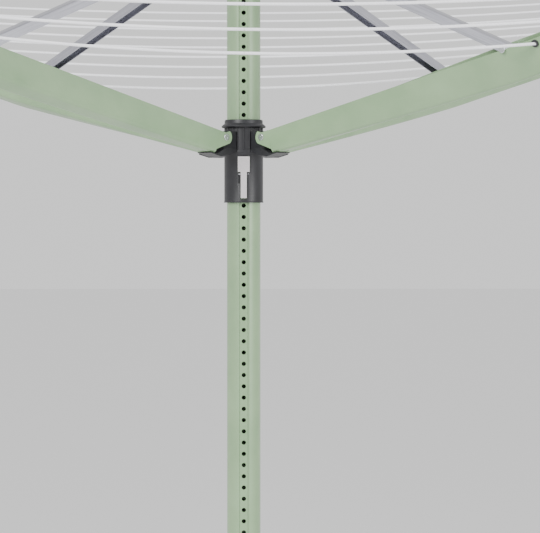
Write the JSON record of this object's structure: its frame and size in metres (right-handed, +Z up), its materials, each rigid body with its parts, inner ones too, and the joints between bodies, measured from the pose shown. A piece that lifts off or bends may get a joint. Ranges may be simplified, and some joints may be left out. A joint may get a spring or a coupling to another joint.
{
  "type": "rotary clothesline",
  "caption": "Folding rotary clothesline: turning mast in a ground sleeve, sprung-lever slider, hinged arms and struts, rings of washing line.",
  "frame": {"origin": "on the mast's axis at ground level, at the underside of the sleeve's flange", "axes": "+Z up along the mast; -Y is the side of the mast's groove and of the lever"},
  "size_m": [2.3112, 2.3112, 2.2001],
  "materials": {
    "green_powder_coat": "matt green powder coat on aluminium",
    "black_plastic": "moulded black plastic",
    "grey_plastic": "moulded light grey plastic",
    "bare_aluminium": "mill-finish aluminium strut",
    "bright_steel": "bright plated steel",
    "line_plastic": "white plastic-coated line"
  },
  "bodies": {
    "ground": {"ground_sleeve": "black_plastic", "sleeve_bush": "black_plastic"},
    "mast": {"mast_tube": "green_powder_coat", "mast_foot": "black_plastic", "top_hub": "black_plastic", "mast_cap": "black_plastic"},
    "slider": {"slider_crown": "black_plastic", "slider_grip": "black_plastic", "slider_liner": "black_plastic", "lever_pivot_pin": "bright_steel", "lever_spring": "bright_steel"},
    "lever": {"lock_lever": "grey_plastic", "lock_pin": "bright_steel"},
    "arm_1": {"arm_channel_1": "green_powder_coat", "arm_tip_cap_1": "black_plastic", "arm_rivet_1": "bright_steel", "line_eyelets_1": "black_plastic", "washing_line_1": "line_plastic", "strut_joint_rivet_1": "bright_steel"},
    "arm_2": {"arm_channel_2": "green_powder_coat", "arm_tip_cap_2": "black_plastic", "arm_rivet_2": "bright_steel", "line_eyelets_2": "black_plastic", "washing_line_2": "line_plastic", "strut_joint_rivet_2": "bright_steel"},
    "arm_3": {"arm_channel_3": "green_powder_coat", "arm_tip_cap_3": "black_plastic", "arm_rivet_3": "bright_steel", "line_eyelets_3": "black_plastic", "washing_line_3": "line_plastic", "strut_joint_rivet_3": "bright_steel"},
    "arm_4": {"arm_channel_4": "green_powder_coat", "arm_tip_cap_4": "black_plastic", "arm_rivet_4": "bright_steel", "line_eyelets_4": "black_plastic", "washing_line_4": "line_plastic", "strut_joint_rivet_4": "bright_steel"},
    "strut_1": {"strut_1": "bare_aluminium", "strut_hub_rivet_1": "bright_steel"},
    "strut_2": {"strut_2": "bare_aluminium", "strut_hub_rivet_2": "bright_steel"},
    "strut_3": {"strut_3": "bare_aluminium", "strut_hub_rivet_3": "bright_steel"},
    "strut_4": {"strut_4": "bare_aluminium", "strut_hub_rivet_4": "bright_steel"}
  },
  "joints": [
    {"name": "mast_turn", "type": "hinge", "parent": "ground", "child": "mast", "pos_m": [0, 0, 0], "axis": [0, 0, 1], "continuous": true},
    {"name": "slider_travel", "type": "slide", "parent": "mast", "child": "slider", "axis": [0, 0, -1], "range_m": [0, 0.65578]},
    {"name": "lever_lock", "type": "hinge", "parent": "slider", "child": "lever", "pos_m": [0, -0.027, 1.426], "axis": [1, 0, 0], "range_deg": [0, 5.5], "stiffness_Nm_per_rad": 0.5, "springref_deg": 11.46, "deforming": ["lever_spring"]},
    {"name": "arm_hinge_1", "type": "hinge", "parent": "slider", "child": "arm_1", "pos_m": [0.03536, -0.03536, 1.48], "axis": [-0.7071, -0.7071, 0], "range_deg": [0, 76.81], "deforming": ["washing_line_1"]},
    {"name": "strut_hinge_1", "type": "hinge", "parent": "arm_1", "child": "strut_1", "pos_m": [0.35203, -0.35203, 1.58504], "axis": [-0.7071, -0.7071, 0], "range_deg": [-144.59, 0]},
    {"name": "arm_hinge_2", "type": "hinge", "parent": "slider", "child": "arm_2", "pos_m": [0.03536, 0.03536, 1.48], "axis": [0.7071, -0.7071, 0], "range_deg": [0, 76.81], "deforming": ["washing_line_2"]},
    {"name": "strut_hinge_2", "type": "hinge", "parent": "arm_2", "child": "strut_2", "pos_m": [0.35203, 0.35203, 1.58504], "axis": [0.7071, -0.7071, 0], "range_deg": [-144.59, 0]},
    {"name": "arm_hinge_3", "type": "hinge", "parent": "slider", "child": "arm_3", "pos_m": [-0.03536, 0.03536, 1.48], "axis": [0.7071, 0.7071, 0], "range_deg": [0, 76.81], "deforming": ["washing_line_3"]},
    {"name": "strut_hinge_3", "type": "hinge", "parent": "arm_3", "child": "strut_3", "pos_m": [-0.35203, 0.35203, 1.58504], "axis": [0.7071, 0.7071, 0], "range_deg": [-144.59, 0]},
    {"name": "arm_hinge_4", "type": "hinge", "parent": "slider", "child": "arm_4", "pos_m": [-0.03536, -0.03536, 1.48], "axis": [-0.7071, 0.7071, 0], "range_deg": [0, 76.81], "deforming": ["washing_line_4"]},
    {"name": "strut_hinge_4", "type": "hinge", "parent": "arm_4", "child": "strut_4", "pos_m": [-0.35203, -0.35203, 1.58504], "axis": [-0.7071, 0.7071, 0], "range_deg": [-144.59, 0]}
  ],
  "couplings": [
    {"joint": "arm_hinge_1", "follows": "slider_travel", "rad_per_m": 2.044},
    {"joint": "strut_hinge_1", "follows": "slider_travel", "rad_per_m": -3.8479},
    {"joint": "arm_hinge_2", "follows": "slider_travel", "rad_per_m": 2.044},
    {"joint": "strut_hinge_2", "follows": "slider_travel", "rad_per_m": -3.8479},
    {"joint": "arm_hinge_3", "follows": "slider_travel", "rad_per_m": 2.044},
    {"joint": "strut_hinge_3", "follows": "slider_travel", "rad_per_m": -3.8479},
    {"joint": "arm_hinge_4", "follows": "slider_travel", "rad_per_m": 2.044},
    {"joint": "strut_hinge_4", "follows": "slider_travel", "rad_per_m": -3.8479}
  ]
}
